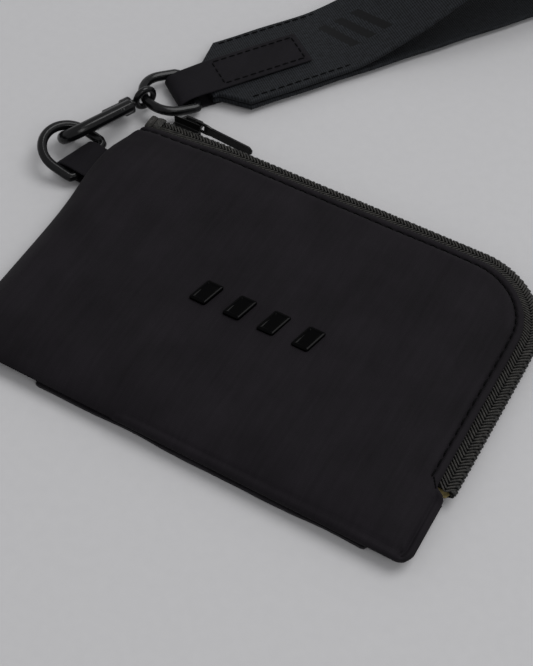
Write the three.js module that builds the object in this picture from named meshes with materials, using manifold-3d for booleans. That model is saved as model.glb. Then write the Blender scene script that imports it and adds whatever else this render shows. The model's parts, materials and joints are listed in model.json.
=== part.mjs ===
// Zippered card and key pouch with a clip-on wrist strap, lying on its back.
// Millimetres. Origin at the centre of the flat underside, +X along the long zip edge away from the
// clip, +Y towards the zip edge, +Z up.
import * as THREE from 'three';
import Module from 'manifold-3d';
import { mergeVertices } from 'three/addons/utils/BufferGeometryUtils.js';

const wasm = await Module();
wasm.setup();

// ---- driving dimensions -------------------------------------------------------------------------
const LENGTH = 115; // pouch along X, over the zip coil
const WIDTH = 82; // pouch along Y, over the zip coil
const CORNER_RADIUS = 21; // outer zip corner
const BOTTOM_CORNER_RADIUS = 3;
const ZIP_INSET = 6; // panel edge to the outside of the coil
const SIDE_INSET = 1.2; // bare side seam below the zip
const ZIP_START_X = -54;
const ZIP_END_Y = -22;
const NOTCH_HEIGHT = 3; // the panel widens over this height below the zip
const GAP = 0.3; // between layers that touch

const PANEL = 0.7; // outer fabric
const LINING = 0.3;
const LINING_GAP = 0.4;
const POCKET = 0.6; // slip pocket under the back panel
const FRONT_HEIGHT = 7.9; // top of the front panel at the middle
const FRONT_ZIP_HEIGHT = 6.4; // top of the front panel at the zip
const BACK_ZIP_LIFT = 0.4;
const SEAM_Z = 3.6; // between the two panels at the sewn edges
const FRONT_SWELL = 13; // distance over which the front panel rises from the bottom seam
const SIDE_SWELL = 6; // and from the left seam
const BACK_SWELL = 5;
const ZIP_SWELL = 18;

const COIL_WIDTH = 1.6;
const COIL_HEIGHT = 0.9;
const COIL_GAP = 1.1; // between the two rows
const ZIP_Z = 3.75; // middle of the chain
const TAPE = 0.5;

const SLIDER_LENGTH = 7.5;
const SLIDER_X = -46.2;

const WIRE = 1.3; // D-ring wire radius
const RING_HALF = 7; // D-ring centre line, half of its straight bar
const RING_ARM = 5.4;
const RING_CORNER = 7;
const RING_DEPTH = RING_ARM + RING_CORNER;
const BAR_Z = 2.5;
const POUCH_RING = { x: -62.3, y: 20.2, tilt: 18 };
const TAB_WIDTH = 10.4;
const TAB = 0.55; // tab fabric
const TAB_FOLD = 4.7; // from the ring bar to the fold

const STRAP_AT = { x: -53.6, y: 54.0, turn: 54.6 }; // strap ring bar, and the strap's direction
const STRAP_RING_TILT = 10.5;
const STRAP_TAB_WIDTH = 10.8;
const PATCH_END = 33;
const WEBBING_WIDTH = 25;
const WEBBING = 1.5; // thickness
const WEBBING_START = 4.3;
const WEBBING_NECK = 14; // width at the cut end
const WEBBING_FULL = 12; // where the webbing reaches its full width
const LOWER_LEG_Z = 1.8;
const UPPER_LEG_Z = 3.6;
const LEG_SPLIT = 38;
const LOOP_END = 112;
const LOOP_RADIUS = 13;

const HOOK_TURN = 66; // direction of the hook in plan
const HOOK_ROLL = 45; // spine side up
const HOOK_WIRE = 1.75;
const HOOK_HALF = 4.1; // centre line of the spine from the axis
const HOOK_NOSE = 24; // centre line of the nose from the swivel eye
const HOOK_SHOULDER = 12;
const COLLAR = { from: 4.1, to: 6.7, radius: 2.3, bore: 1.25 };
const GATE_WIRE = 1.1;
const EYE_RADIUS = 2.6;
const EYE_WIRE = 0.9;

const BADGE = { pieces: 4, pitch: 8.75, width: 4.2, height: 6.6, slant: 1.5, thick: 0.7, x: 0.5, y: -4.4 };

// ---- materials ----------------------------------------------------------------------------------
function finish(color, roughness, metalness = 0) {
  return () => new THREE.MeshStandardMaterial({ color, roughness, metalness });
}

const fabric = finish(0x1d1c1f, 0.85);
const lining = finish(0x5c5436, 0.8);
const tapeCloth = finish(0x242422, 0.75);
const nylon = finish(0x1b1b1b, 0.45);
const webbingCloth = finish(0x24282b, 0.7);
const blackMetal = finish(0x0c0d0f, 0.35, 0.8);
const glossPlastic = finish(0x050506, 0.12);

const pouch = new THREE.Group();

function addPart(parent, name, geometry, material) {
  const mesh = new THREE.Mesh(geometry, material);
  mesh.name = name;
  parent.add(mesh);
  return mesh;
}

// ---- geometry helpers ---------------------------------------------------------------------------
// A closed body from points and triangles, turned inside out if its faces point inwards.
function closedBody(points, triangles) {
  let volume = 0;
  for (const [a, b, c] of triangles) {
    const cross = new THREE.Vector3().crossVectors(points[b], points[c]);
    volume += points[a].dot(cross);
  }
  const faces = volume < 0 ? triangles.map(([a, b, c]) => [a, c, b]) : triangles;
  const geometry = new THREE.BufferGeometry();
  const flat = points.flatMap((p) => p.toArray());
  geometry.setAttribute('position', new THREE.Float32BufferAttribute(flat, 3));
  geometry.setIndex(faces.flat());
  geometry.computeVertexNormals();
  return geometry;
}

// A section carried through a list of frames, closed at both ends.
function sweptBody(rings, section) {
  const n = section.length;
  const triangles = [];
  for (let k = 0; k < rings.length - 1; k += 1) {
    for (let i = 0; i < n; i += 1) {
      const j = (i + 1) % n;
      triangles.push([k * n + i, k * n + j, (k + 1) * n + j]);
      triangles.push([k * n + i, (k + 1) * n + j, (k + 1) * n + i]);
    }
  }
  const last = (rings.length - 1) * n;
  for (const [a, b, c] of THREE.ShapeUtils.triangulateShape(section, [])) {
    triangles.push([c, b, a]);
    triangles.push([last + a, last + b, last + c]);
  }
  return closedBody(rings.flat(), triangles);
}

// A sheet between two height functions, over rows of an outline { rows, left(y), right(y) }. Its
// columns crowd towards the left, where the panels curve most.
const COLUMN_CROWDING = 1.6;

function sheetBody(outline, under, over, columns) {
  const { rows, left, right } = outline;
  const points = [];
  for (const height of [under, over]) {
    for (const y of rows) {
      for (let i = 0; i <= columns; i += 1) {
        const x = THREE.MathUtils.lerp(left(y), right(y), (i / columns) ** COLUMN_CROWDING);
        points.push(new THREE.Vector3(x, y, height(x, y)));
      }
    }
  }
  const stride = columns + 1;
  const layer = rows.length * stride;
  const triangles = [];
  const quad = (a, b, c, d) => triangles.push([a, b, c], [a, c, d]);
  for (let j = 0; j < rows.length - 1; j += 1) {
    for (let i = 0; i < columns; i += 1) {
      const a = j * stride + i;
      quad(a, a + stride, a + stride + 1, a + 1);
      quad(layer + a, layer + a + 1, layer + a + stride + 1, layer + a + stride);
    }
    const first = j * stride;
    const final = first + columns;
    quad(first, layer + first, layer + first + stride, first + stride);
    quad(final, final + stride, layer + final + stride, layer + final);
  }
  const top = (rows.length - 1) * stride;
  for (let i = 0; i < columns; i += 1) {
    quad(i, i + 1, layer + i + 1, layer + i);
    quad(top + i, layer + top + i, layer + top + i + 1, top + i + 1);
  }
  return closedBody(points, triangles);
}

function circleShape(radius, sides) {
  const points = [];
  for (let i = 0; i < sides; i += 1) {
    const angle = (2 * Math.PI * i) / sides;
    points.push(new THREE.Vector2(radius * Math.cos(angle), radius * Math.sin(angle)));
  }
  return new THREE.Shape(points);
}

// A round rod along a list of [x, y] points in the plane z = 0.
function rod(points, radius, steps, sides = 10) {
  const flat = points.map(([x, y]) => new THREE.Vector3(x, y, 0));
  const curve = new THREE.CatmullRomCurve3(flat, false, 'centripetal');
  return new THREE.ExtrudeGeometry(circleShape(radius, sides), { steps, extrudePath: curve });
}

function solid(geometry) {
  const bare = geometry.clone();
  bare.deleteAttribute('normal');
  bare.deleteAttribute('uv');
  const merged = mergeVertices(bare, 1e-4);
  return new wasm.Manifold(new wasm.Mesh({
    numProp: 3,
    vertProperties: new Float32Array(merged.attributes.position.array),
    triVerts: new Uint32Array(merged.index.array),
  }));
}

function geometryOf(manifold) {
  const mesh = manifold.getMesh();
  const geometry = new THREE.BufferGeometry();
  geometry.setAttribute('position', new THREE.BufferAttribute(new Float32Array(mesh.vertProperties), 3));
  geometry.setIndex(new THREE.BufferAttribute(new Uint32Array(mesh.triVerts), 1));
  geometry.computeVertexNormals();
  return geometry;
}

// A cylinder along X between two stations.
function cylinderX(from, to, radius, sides = 20) {
  const geometry = new THREE.CylinderGeometry(radius, radius, to - from, sides);
  geometry.rotateZ(Math.PI / 2);
  geometry.translate((from + to) / 2, 0, 0);
  return geometry;
}

// A disc or pin along Z at (x, y).
function cylinderZ(x, y, from, to, radius, sides = 16) {
  const geometry = new THREE.CylinderGeometry(radius, radius, to - from, sides);
  geometry.rotateX(Math.PI / 2);
  geometry.translate(x, y, (from + to) / 2);
  return geometry;
}

function prism(points, depth, holes = []) {
  const shape = new THREE.Shape(points.map(([x, y]) => new THREE.Vector2(x, y)));
  for (const hole of holes) {
    shape.holes.push(new THREE.Path(hole.map(([x, y]) => new THREE.Vector2(x, y))));
  }
  return new THREE.ExtrudeGeometry(shape, { depth, bevelEnabled: false });
}

// A profile in X and Z, carried along Y for a width centred on y = 0.
function profileAcross(points, width, holes = []) {
  const geometry = prism(points, width, holes);
  geometry.rotateX(Math.PI / 2);
  geometry.translate(0, width / 2, 0);
  return geometry;
}

// ---- pouch outline and heights ------------------------------------------------------------------
const LEFT = -LENGTH / 2;
const BOTTOM = -WIDTH / 2;

function arcReach(y, centre, radius) {
  const squared = radius * radius - (y - centre) * (y - centre);
  return Math.sqrt(Math.max(0, squared));
}

// Right-hand edge of a panel whose zip side is inset by zipInset.
function rightEdge(y, zipInset, sideInset) {
  const atZip = LENGTH / 2 - zipInset;
  const atSide = LENGTH / 2 - sideInset;
  const centre = WIDTH / 2 - CORNER_RADIUS;
  if (y > centre) {
    return LENGTH / 2 - CORNER_RADIUS + arcReach(y, centre, CORNER_RADIUS - zipInset);
  }
  const widening = THREE.MathUtils.smoothstep(-y, -ZIP_END_Y, -ZIP_END_Y + NOTCH_HEIGHT);
  const foot = BOTTOM + BOTTOM_CORNER_RADIUS;
  const cut = y < foot ? BOTTOM_CORNER_RADIUS - arcReach(y, foot, BOTTOM_CORNER_RADIUS) : 0;
  return THREE.MathUtils.lerp(atZip, atSide, widening) - cut;
}

// Rows from the bottom seam to the zip, close together where the outline turns.
function outlineRows(bottom, zipInset) {
  const centre = WIDTH / 2 - CORNER_RADIUS;
  const rows = [bottom, bottom + 0.6, bottom + 1.6, bottom + 3.2, bottom + 6, bottom + 9.5];
  rows.push(...[2, 1, 0.5, 0].map((k) => ZIP_END_Y - k * NOTCH_HEIGHT));
  for (let k = 1; k <= 4; k += 1) {
    rows.push(THREE.MathUtils.lerp(ZIP_END_Y, centre, k / 4));
  }
  for (const turn of [25, 45, 60, 75, 90]) {
    rows.push(centre + (CORNER_RADIUS - zipInset) * Math.sin(THREE.MathUtils.degToRad(turn)));
  }
  return rows;
}

const swell = (distance, reach) => {
  const left = 1 - THREE.MathUtils.clamp(distance / reach, 0, 1);
  return 1 - left * left;
};

// Distance of a point in from the panel's zip edge, round the corner too.
function fromZip(x, y) {
  const across = x - (LENGTH / 2 - CORNER_RADIUS);
  const up = y - (WIDTH / 2 - CORNER_RADIUS);
  const radius = CORNER_RADIUS - ZIP_INSET;
  return across > 0 && up > 0 ? radius - Math.hypot(across, up) : radius - Math.max(across, up);
}

const zipSwell = (x, y) => swell(fromZip(x, y), ZIP_SWELL);

const seamSwell = (x, y, side, bottom) => swell(x - LEFT, side) * swell(y - BOTTOM, bottom);

function frontTop(x, y) {
  const seam = SEAM_Z + GAP + PANEL;
  const filled = FRONT_ZIP_HEIGHT + (FRONT_HEIGHT - FRONT_ZIP_HEIGHT) * zipSwell(x, y);
  return seam + (filled - seam) * seamSwell(x, y, SIDE_SWELL, FRONT_SWELL);
}

function backUnder(x, y) {
  const seam = SEAM_Z - PANEL;
  const lying = POCKET + GAP + BACK_ZIP_LIFT * (1 - zipSwell(x, y));
  return seam + (lying - seam) * seamSwell(x, y, BACK_SWELL, BACK_SWELL);
}

// ---- pouch body ---------------------------------------------------------------------------------
function panelOutline() {
  return {
    rows: outlineRows(BOTTOM, ZIP_INSET),
    left: () => LEFT,
    right: (y) => rightEdge(y, ZIP_INSET, SIDE_INSET),
  };
}

function liningOutline() {
  const inset = ZIP_INSET + 2.2;
  const bottom = BOTTOM + ZIP_INSET;
  const rows = outlineRows(bottom, inset).sort((a, b) => a - b);
  return {
    rows: rows.filter((y, i, all) => i === 0 || y > all[i - 1] + 0.4),
    left: () => LEFT + ZIP_INSET,
    right: (y) => rightEdge(y, inset, inset),
  };
}

function makePanels() {
  const columns = 20;
  const outline = panelOutline();
  const inner = liningOutline();
  const frontUnder = (x, y) => frontTop(x, y) - PANEL;
  const backTop = (x, y) => backUnder(x, y) + PANEL;
  addPart(pouch, 'front_panel', sheetBody(outline, frontUnder, frontTop, columns), fabric());
  addPart(pouch, 'back_panel', sheetBody(outline, backUnder, backTop, columns), fabric());
  const liningTop = (x, y) => frontUnder(x, y) - LINING_GAP;
  const liningFrontUnder = (x, y) => liningTop(x, y) - LINING;
  const liningBackUnder = (x, y) => backTop(x, y) + LINING_GAP;
  const liningBackTop = (x, y) => liningBackUnder(x, y) + LINING;
  addPart(pouch, 'lining_front', sheetBody(inner, liningFrontUnder, liningTop, 12), lining());
  addPart(pouch, 'lining_back', sheetBody(inner, liningBackUnder, liningBackTop, 12), lining());
}

// Slip pocket sewn under the back panel, its folded bottom edge level with the pouch's.
function makeRearPocket() {
  const left = -36;
  const right = 47;
  const top = 24;
  const outline = [[left, BOTTOM], [right - 2, BOTTOM], [right, BOTTOM + 2], [right, top], [left, top]];
  addPart(pouch, 'rear_pocket', prism(outline, POCKET), fabric());
}

// ---- zip ----------------------------------------------------------------------------------------
// Stations round the zip edge: straight, corner, straight. Each has a point and an outward direction.
function zipStations(startX, endY) {
  const centre = new THREE.Vector2(LENGTH / 2 - CORNER_RADIUS, WIDTH / 2 - CORNER_RADIUS);
  const stations = [];
  for (const share of [0, 0.34, 0.67]) {
    const x = THREE.MathUtils.lerp(startX, centre.x, share);
    stations.push({ point: new THREE.Vector2(x, WIDTH / 2), out: new THREE.Vector2(0, 1) });
  }
  const turns = 10;
  for (let k = 0; k <= turns; k += 1) {
    const angle = (Math.PI / 2) * (1 - k / turns);
    const out = new THREE.Vector2(Math.cos(angle), Math.sin(angle));
    stations.push({ point: centre.clone().addScaledVector(out, CORNER_RADIUS), out });
  }
  stations.push({ point: new THREE.Vector2(LENGTH / 2, endY), out: new THREE.Vector2(1, 0) });
  return stations;
}

// A section of [inset from the zip edge, z] points, carried round the zip edge.
function roundZipEdge(section, startX = ZIP_START_X, endY = ZIP_END_Y) {
  const rings = zipStations(startX, endY).map(({ point, out }) => section.map(([inset, z]) => {
    const at = point.clone().addScaledVector(out, -inset);
    return new THREE.Vector3(at.x, at.y, z);
  }));
  return sweptBody(rings, section.map(([inset, z]) => new THREE.Vector2(inset, z)));
}

const COIL_FRONT_Z = ZIP_Z + COIL_GAP / 2;
const COIL_BACK_Z = ZIP_Z - COIL_GAP / 2 - COIL_HEIGHT;

function coilSection(z) {
  const round = 0.3;
  const top = z + COIL_HEIGHT;
  return [
    [round, z], [COIL_WIDTH, z], [COIL_WIDTH, top], [round, top], [0, top - round], [0, z + round],
  ];
}

// Tape from the coil to under the panel edge, upper surface z values at its two ends.
function tapeSection(coilZ, panelZ) {
  const atCoil = COIL_WIDTH + GAP;
  const atPanel = ZIP_INSET - 0.4;
  const sewn = ZIP_INSET + 1.6;
  return [
    [atCoil, coilZ - TAPE], [atPanel, panelZ - TAPE], [sewn, panelZ - TAPE],
    [sewn, panelZ], [atPanel, panelZ], [atCoil, coilZ],
  ];
}

function makeZip() {
  const frontSewn = FRONT_ZIP_HEIGHT - PANEL - 2 * GAP;
  const backSewn = POCKET + BACK_ZIP_LIFT + PANEL + 3 * GAP + TAPE;
  addPart(pouch, 'zip_tape_front', roundZipEdge(tapeSection(COIL_FRONT_Z + 0.7, frontSewn)), tapeCloth());
  addPart(pouch, 'zip_tape_back', roundZipEdge(tapeSection(COIL_BACK_Z + 0.7, backSewn)), tapeCloth());
  const coilStart = ZIP_START_X + 2;
  addPart(pouch, 'zip_coil_front', roundZipEdge(coilSection(COIL_FRONT_Z), coilStart), nylon());
  addPart(pouch, 'zip_coil_back', roundZipEdge(coilSection(COIL_BACK_Z), coilStart), nylon());
  const stop = { front: COIL_FRONT_Z, back: COIL_BACK_Z };
  for (const [side, z] of Object.entries(stop)) {
    const block = new THREE.BoxGeometry(1.2, COIL_WIDTH, COIL_HEIGHT + 0.2);
    block.translate(ZIP_START_X + 1, WIDTH / 2 - COIL_WIDTH / 2, z + COIL_HEIGHT / 2);
    addPart(pouch, `zip_start_stop_${side}`, block, nylon());
  }
  const height = COIL_FRONT_Z + COIL_HEIGHT - COIL_BACK_Z;
  const end = new THREE.BoxGeometry(COIL_WIDTH, 1.2, height);
  end.translate(LENGTH / 2 - COIL_WIDTH / 2, ZIP_END_Y - 1, ZIP_Z);
  addPart(pouch, 'zip_end_stop', end, nylon());
}

// Outer plate, neck between the two coil rows, and inner plate inside the pouch, as one casting.
function makeSlider() {
  const coilFace = WIDTH / 2;
  const outer = { from: coilFace + 0.3, to: coilFace + 0.9, half: 2.5 };
  const inner = { from: coilFace - 4.1, to: coilFace - 3.4, half: 0.45 };
  const neck = 0.22;
  const ends = [
    [outer.to, ZIP_Z - outer.half + 0.6], [outer.to, ZIP_Z + outer.half - 0.6],
    [outer.from, ZIP_Z + outer.half], [outer.from, ZIP_Z + neck],
    [inner.to, ZIP_Z + neck], [inner.to, ZIP_Z + inner.half],
    [inner.from, ZIP_Z + inner.half], [inner.from, ZIP_Z - inner.half],
    [inner.to, ZIP_Z - inner.half], [inner.to, ZIP_Z - neck],
    [outer.from, ZIP_Z - neck], [outer.from, ZIP_Z - outer.half],
  ];
  const section = ends.map(([y, z]) => new THREE.Vector2(y, z));
  const rings = [-0.5, 0.5].map((share) => ends.map(([y, z]) => (
    new THREE.Vector3(SLIDER_X + share * SLIDER_LENGTH, y, z))));
  addPart(pouch, 'slider_body', sweptBody(rings, section), blackMetal());
}

const BRIDGE = { foot: WIDTH / 2 + 1.2, crown: WIDTH / 2 + 3.6, from: SLIDER_X - 3.2, to: SLIDER_X + 3.2 };
const BRIDGE_THICK = 1.2;
const BRIDGE_LEG = 1.0;
const PULL_PIVOT = { x: BRIDGE.to - BRIDGE_LEG / 2, y: WIDTH / 2 + 2.3 };
const PULL = { length: 15.2, tail: -1.5, head: 1.7, stem: 1.4, thick: 0.6, drop: 0.25, sag: 6 };

// Arch on the outer plate that holds the pull.
function makeBridge() {
  const { foot, crown, from, to } = BRIDGE;
  const inside = crown - 0.7;
  const arch = [
    [from, foot], [from + BRIDGE_LEG, foot], [from + BRIDGE_LEG + 0.5, inside], [to - BRIDGE_LEG, inside],
    [to - BRIDGE_LEG, foot], [to, foot], [to, crown - 0.4], [to - 0.5, crown], [from + 1.4, crown],
  ];
  const geometry = prism(arch, BRIDGE_THICK);
  geometry.translate(0, 0, ZIP_Z - BRIDGE_THICK / 2);
  addPart(pouch, 'slider_bridge', geometry, blackMetal());
}

// Flat pull that sags along the zip, with a window round the front leg of the arch.
function makePull() {
  const { x, y } = PULL_PIVOT;
  const { length, tail, head, stem, thick, drop, sag } = PULL;
  const above = [
    [length, stem - 0.9], [length - 0.9, stem], [3.2, stem], [1.9, head],
    [tail + 0.6, head], [tail, head - 0.6],
  ];
  const below = above.map(([u, v]) => [u, -v]).reverse();
  const window = [[-1.15, -1], [1.15, -1], [1.15, 1], [-1.15, 1]];
  const geometry = prism([...above, ...below], thick, [window]);
  geometry.rotateZ(-THREE.MathUtils.degToRad(sag));
  geometry.rotateX(Math.PI / 2);
  geometry.translate(x, y + thick / 2, ZIP_Z - drop);
  addPart(pouch, 'pull_tab', geometry, blackMetal());
}

// ---- rings, tabs and strap ----------------------------------------------------------------------
// D-ring with its bar on the Y axis and its bow towards -X.
function ringGeometry() {
  const h = RING_HALF;
  const outline = new THREE.Shape();
  outline.moveTo(0, -h + 1);
  outline.lineTo(0, h - 1);
  outline.absarc(-1, h - 1, 1, 0, Math.PI / 2, false);
  outline.lineTo(-RING_ARM, h);
  outline.absarc(-RING_ARM, h - RING_CORNER, RING_CORNER, Math.PI / 2, Math.PI, false);
  outline.lineTo(-RING_DEPTH, -h + RING_CORNER);
  outline.absarc(-RING_ARM, -h + RING_CORNER, RING_CORNER, Math.PI, 1.5 * Math.PI, false);
  outline.lineTo(-1, -h);
  outline.absarc(-1, -h + 1, 1, 1.5 * Math.PI, 2 * Math.PI, false);
  const points = outline.getSpacedPoints(44).slice(0, -1).map((p) => new THREE.Vector3(p.x, p.y, 0));
  const curve = new THREE.CatmullRomCurve3(points, true, 'centripetal');
  return new THREE.TubeGeometry(curve, 44, WIRE, 8, true);
}

function addRing(parent, name, { x, y, tilt }) {
  const ring = addPart(parent, name, ringGeometry(), blackMetal());
  ring.position.set(x, y, BAR_Z);
  ring.rotation.y = THREE.MathUtils.degToRad(tilt);
}

// Loop of tab fabric round the ring bar, in X and Z, with its tail towards +X.
function makeSideTab() {
  const { x, y } = POUCH_RING;
  const fold = -TAB_FOLD;
  const tail = LEFT - GAP - x;
  const over = BAR_Z + WIRE + GAP + TAB;
  const loop = [
    [tail, SEAM_Z - 0.7], [tail, SEAM_Z + 1.1], [tail - 1.6, over], [-1, over], [fold + 1, over - 0.7],
    [fold, BAR_Z + 0.4], [fold, BAR_Z - 0.7], [fold + 1, 0.45], [-1, 0.25], [1.6, 0.25],
  ];
  const space = [
    [1.75, BAR_Z + WIRE + GAP], [-1, BAR_Z + WIRE + GAP], [fold + 1.3, BAR_Z + 1], [fold + TAB, BAR_Z],
    [fold + TAB, BAR_Z - 0.4], [fold + 1.3, 1], [-1, 0.25 + TAB], [1.45, 0.25 + TAB], [1.9, 1.9],
  ];
  const geometry = profileAcross(loop, TAB_WIDTH, [space]);
  geometry.translate(x, y, 0);
  addPart(pouch, 'side_tab', geometry, fabric());
}

const strapFrame = new THREE.Group();
strapFrame.position.set(STRAP_AT.x, STRAP_AT.y, 0);
strapFrame.rotation.z = THREE.MathUtils.degToRad(STRAP_AT.turn);
pouch.add(strapFrame);

// One strip of tab fabric: under the webbing ends, round the ring bar and back over the top.
function makeStrapTab() {
  const fold = -TAB_FOLD;
  const over = UPPER_LEG_Z + WEBBING / 2 + GAP + TAB;
  const under = LOWER_LEG_Z - WEBBING / 2 - GAP;
  const strip = [
    [PATCH_END, under - TAB], [PATCH_END, under], [1.6, under],
    [fold + 1.4, under], [fold + TAB, BAR_Z - 0.6],
    [fold + TAB, BAR_Z + 0.4], [fold + 1.5, over - TAB - 0.9], [-0.5, over - TAB - 0.1], [3, over - TAB],
    [PATCH_END, over - TAB], [PATCH_END, over], [3, over], [-0.8, over - 0.1], [fold + 1, over - 0.9],
    [fold, BAR_Z + 0.6], [fold, BAR_Z - 0.8], [fold + 1, under - TAB],
  ];
  addPart(strapFrame, 'strap_tab', profileAcross(strip, STRAP_TAB_WIDTH), fabric());
}

// Centre line of the strap's loop: out along the lower leg, round the end, back along the upper leg.
function loopLine() {
  const line = [[WEBBING_START, LOWER_LEG_Z], [LEG_SPLIT, LOWER_LEG_Z], [LOOP_END, LOWER_LEG_Z]];
  const turns = 12;
  for (let k = 1; k <= turns; k += 1) {
    const angle = -Math.PI / 2 + (Math.PI * k) / turns;
    const height = LOWER_LEG_Z + LOOP_RADIUS * (1 + Math.sin(angle));
    line.push([LOOP_END + LOOP_RADIUS * Math.cos(angle), height]);
  }
  const crown = LOWER_LEG_Z + 2 * LOOP_RADIUS;
  const steps = 12;
  for (let k = 1; k <= steps; k += 1) {
    const x = THREE.MathUtils.lerp(LOOP_END, LEG_SPLIT, k / steps);
    const rise = THREE.MathUtils.smoothstep(x, LEG_SPLIT, LOOP_END);
    line.push([x, THREE.MathUtils.lerp(UPPER_LEG_Z, crown, rise)]);
  }
  line.push([WEBBING_START, UPPER_LEG_Z]);
  return line.map(([x, z]) => new THREE.Vector2(x, z));
}

function makeWebbing() {
  const line = loopLine();
  const left = [];
  const right = [];
  line.forEach((at, i) => {
    const before = line[Math.max(0, i - 1)];
    const after = line[Math.min(line.length - 1, i + 1)];
    const along = after.clone().sub(before).normalize();
    const across = new THREE.Vector2(-along.y, along.x).multiplyScalar(WEBBING / 2);
    left.push(at.clone().add(across));
    right.push(at.clone().sub(across));
  });
  const band = [...left, ...right.reverse()].map((p) => [p.x, p.y]);
  const half = WEBBING_WIDTH / 2;
  const neck = WEBBING_NECK / 2;
  const reach = LOOP_END + LOOP_RADIUS + WEBBING;
  const plan = [
    [WEBBING_START - 1, neck - 0.7], [WEBBING_FULL, half], [reach, half],
    [reach, -half], [WEBBING_FULL, -half], [WEBBING_START - 1, -neck + 0.7],
  ];
  const cutter = prism(plan, 2 * LOOP_RADIUS + 10);
  cutter.translate(0, 0, -2);
  const strap = solid(profileAcross(band, WEBBING_WIDTH + 2)).intersect(solid(cutter));
  addPart(strapFrame, 'webbing_strap', geometryOf(strap), webbingCloth());
}

// ---- snap hook ----------------------------------------------------------------------------------
// Hook frame: X from the swivel eye to the nose, Y towards the spine.
function makeHookFrame() {
  const turn = THREE.MathUtils.degToRad(HOOK_TURN);
  const roll = THREE.MathUtils.degToRad(HOOK_ROLL);
  const reach = RING_DEPTH * Math.cos(THREE.MathUtils.degToRad(STRAP_RING_TILT));
  const lift = RING_DEPTH * Math.sin(THREE.MathUtils.degToRad(STRAP_RING_TILT));
  const strapTurn = THREE.MathUtils.degToRad(STRAP_AT.turn);
  const frame = new THREE.Group();
  const along = new THREE.Vector3(-Math.cos(turn), -Math.sin(turn), 0);
  const near = new THREE.Vector3(Math.sin(turn), -Math.cos(turn), 0);
  const spine = near.multiplyScalar(Math.cos(roll)).add(new THREE.Vector3(0, 0, Math.sin(roll)));
  const normal = new THREE.Vector3().crossVectors(along, spine);
  frame.quaternion.setFromRotationMatrix(new THREE.Matrix4().makeBasis(along, spine, normal));
  frame.position.set(
    STRAP_AT.x - reach * Math.cos(strapTurn),
    STRAP_AT.y - reach * Math.sin(strapTurn),
    BAR_Z + lift,
  );
  return frame;
}

const hookFrame = makeHookFrame();
pouch.add(hookFrame);

const GATE_PIVOT = { x: HOOK_SHOULDER + 0.6, y: -HOOK_HALF };
const PIN_BORE = 0.87;
const SEAT_X = HOOK_NOSE - HOOK_HALF; // end of the nose, facing the gate

function makeHookBody() {
  const c = HOOK_HALF;
  const bend = HOOK_NOSE - c;
  const spinePath = [[5.5, 2.9], [8.4, 3.5], [HOOK_SHOULDER, c], [bend, c]];
  for (let k = 1; k <= 8; k += 1) {
    const angle = Math.PI / 2 - (Math.PI * k) / 8;
    spinePath.push([bend + c * Math.cos(angle), c * Math.sin(angle)]);
  }
  const armPath = [[5.5, -2.9], [8, -3.6], [GATE_PIVOT.x - 1.9, -c]];
  const cheek = { radius: 1.3, inner: 0.75, outer: 1.15 };
  let body = solid(rod(spinePath, HOOK_WIRE, 34)).add(solid(rod(armPath, HOOK_WIRE, 8)));
  for (const side of [-1, 1]) {
    const from = side > 0 ? cheek.inner : -cheek.outer;
    const to = side > 0 ? cheek.outer : -cheek.inner;
    const disc = solid(cylinderZ(GATE_PIVOT.x, GATE_PIVOT.y, from, to, cheek.radius));
    const strut = new THREE.BoxGeometry(3, 2.2, to - from);
    strut.translate(GATE_PIVOT.x - 1.9, GATE_PIVOT.y, (from + to) / 2);
    body = body.add(disc).add(solid(strut));
  }
  const slot = new THREE.BoxGeometry(3, 5, 2 * cheek.inner);
  slot.translate(GATE_PIVOT.x - 0.4, GATE_PIVOT.y, 0);
  body = body.subtract(solid(slot));
  body = body.subtract(solid(cylinderZ(GATE_PIVOT.x, GATE_PIVOT.y, -3, 3, PIN_BORE)));
  body = body.add(solid(cylinderX(COLLAR.from, COLLAR.to, COLLAR.radius)));
  body = body.subtract(solid(cylinderX(COLLAR.from - 1, COLLAR.to + 0.1, COLLAR.bore)));
  body = body.subtract(solid(cylinderX(COLLAR.to - 0.01, COLLAR.to + 2.6, 2.0)));
  addPart(hookFrame, 'hook_body', geometryOf(body), blackMetal());
}

function makeGate() {
  const { x, y } = GATE_PIVOT;
  const start = x + 1.65;
  const bar = rod([[start, y], [(start + SEAT_X) / 2, y], [SEAT_X - 0.45, y]], GATE_WIRE, 6, 8);
  const tongue = new THREE.BoxGeometry(2.4, 1.8, 0.9);
  tongue.translate(x + 1.2, y, 0);
  const eye = solid(cylinderZ(x, y, -0.45, 0.45, 1.25));
  const bore = solid(cylinderZ(x, y, -2, 2, PIN_BORE));
  const gate = solid(bar).add(solid(tongue)).add(eye).subtract(bore);
  addPart(hookFrame, 'hook_gate', geometryOf(gate), blackMetal());
  const pin = cylinderZ(x, y, -1.2, 1.2, 0.55, 12);
  addPart(hookFrame, 'gate_rivet', pin, blackMetal());
}

// Swivel: an eye round the strap ring's bow, on a post headed over behind the hook's collar.
function makeSwivel() {
  const roll = THREE.MathUtils.degToRad(HOOK_ROLL);
  const hoop = new THREE.TorusGeometry(EYE_RADIUS, EYE_WIRE, 8, 24);
  // the hoop's plane is turned upright
  hoop.rotateX(Math.PI / 2 - roll);
  const post = cylinderX(EYE_RADIUS + 0.4, COLLAR.to + 0.5, 0.9, 14);
  const head = cylinderX(COLLAR.to + 0.35, COLLAR.to + 1.6, 1.6, 14);
  const eye = solid(hoop).add(solid(post)).add(solid(head));
  addPart(hookFrame, 'swivel_eye', geometryOf(eye), blackMetal());
}

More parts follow.
